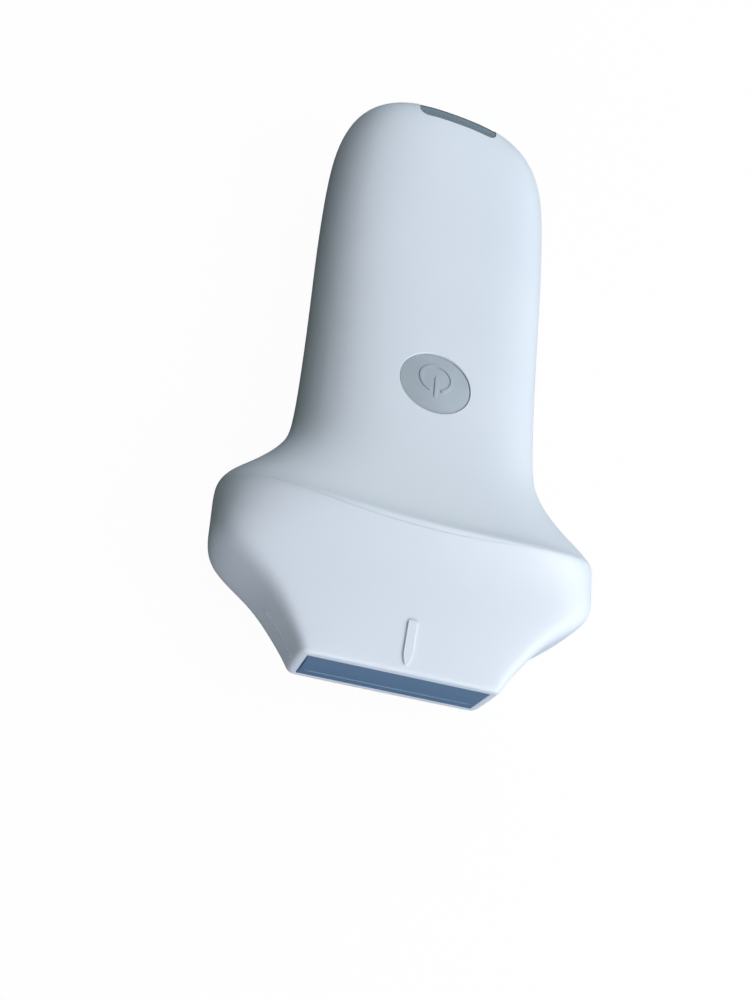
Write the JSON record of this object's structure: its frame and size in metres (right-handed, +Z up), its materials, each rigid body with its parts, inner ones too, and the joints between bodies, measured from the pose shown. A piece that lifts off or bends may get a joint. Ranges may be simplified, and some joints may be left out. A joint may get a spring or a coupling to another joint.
{
  "type": "handheld wireless linear ultrasound scanner",
  "caption": "Hand-held wireless ultrasound probe: slim rounded handle with a round power button, wide shouldered head tapering to a straight linear lens, smoked indicator window at the tail.",
  "frame": {"origin": "bottom centre of the bounding box, the scanner lying on its flat back", "axes": "+Z up on the button side; +Y towards the tail, so the lens looks along -Y; +X across the scanner"},
  "size_m": [0.0772, 0.1602, 0.0261],
  "materials": {
    "shell_white": "satin moulded",
    "lens_blue": "smooth satin",
    "button_grey": "satin",
    "window_smoked": "polished tinted",
    "elastomer_dark": "matt",
    "matching_grey": "flat",
    "piezo_ceramic": "fired, metallised",
    "backing_dark": "matt filled epoxy",
    "carrier_plastic": "moulded",
    "flex_amber": "smooth polyimide",
    "board_green": "solder mask",
    "chip_black": "matt moulded",
    "connector_cream": "moulded",
    "tin_plate": "satin tin",
    "chassis_aluminium": "bead-blasted",
    "steel": "plated",
    "brass": "machined",
    "cell_foil": "crimped foil",
    "foam_grey": "open foam",
    "lead_black": "extruded",
    "copper": "enamelled",
    "ferrite": "matt",
    "capacitor_tan": "glazed",
    "diffuser_milky": "frosted",
    "led_clear": "clear moulded"
  },
  "bodies": {
    "housing": {"head_shell": "shell_white", "handle_sleeve": "shell_white", "seam_ring": "elastomer_dark", "acoustic_lens": "lens_blue", "matching_layer_outer": "matching_grey", "matching_layer_inner": "matching_grey", "piezo_elements": "piezo_ceramic", "backing_block": "backing_dark", "array_carrier": "carrier_plastic", "array_flex_front": "flex_amber", "array_flex_back": "flex_amber", "flex_connectors": "connector_cream", "front_board": "board_green", "receive_chips": "chip_black", "pulser_chips": "chip_black", "board_connector": "connector_cream", "main_board": "board_green", "processor_chip": "chip_black", "memory_chips": "chip_black", "power_inductors": "ferrite", "small_capacitors": "capacitor_tan", "radio_module": "tin_plate", "radio_shield": "tin_plate", "chip_antenna": "connector_cream", "tact_switch_body": "chip_black", "button_retainer": "carrier_plastic", "chassis": "chassis_aluminium", "chassis_screws": "steel", "board_standoffs": "brass", "board_screws": "steel", "battery_cell": "cell_foil", "battery_tape": "foam_grey", "battery_leads": "lead_black", "battery_connector": "connector_cream", "charging_coil": "copper", "coil_ferrite": "ferrite", "tail_window": "window_smoked", "window_gasket": "elastomer_dark", "tail_screws": "steel", "light_guide": "diffuser_milky", "led_board": "board_green", "indicator_leds": "led_clear"},
    "power_button": {"button_cap": "button_grey"},
    "switch_plunger": {"tact_switch_plunger": "connector_cream"}
  },
  "joints": [
    {"name": "power_button_press", "type": "slide", "parent": "housing", "child": "power_button", "axis": [0, 0, -1], "range_m": [0, 0.0003], "stiffness_N_per_m": 1500, "springref_m": -0.0004},
    {"name": "switch_plunger_press", "type": "slide", "parent": "housing", "child": "switch_plunger", "axis": [0, 0, -1], "range_m": [0, 0.0003]}
  ],
  "couplings": [
    {"joint": "switch_plunger_press", "follows": "power_button_press", "ratio": 1}
  ]
}
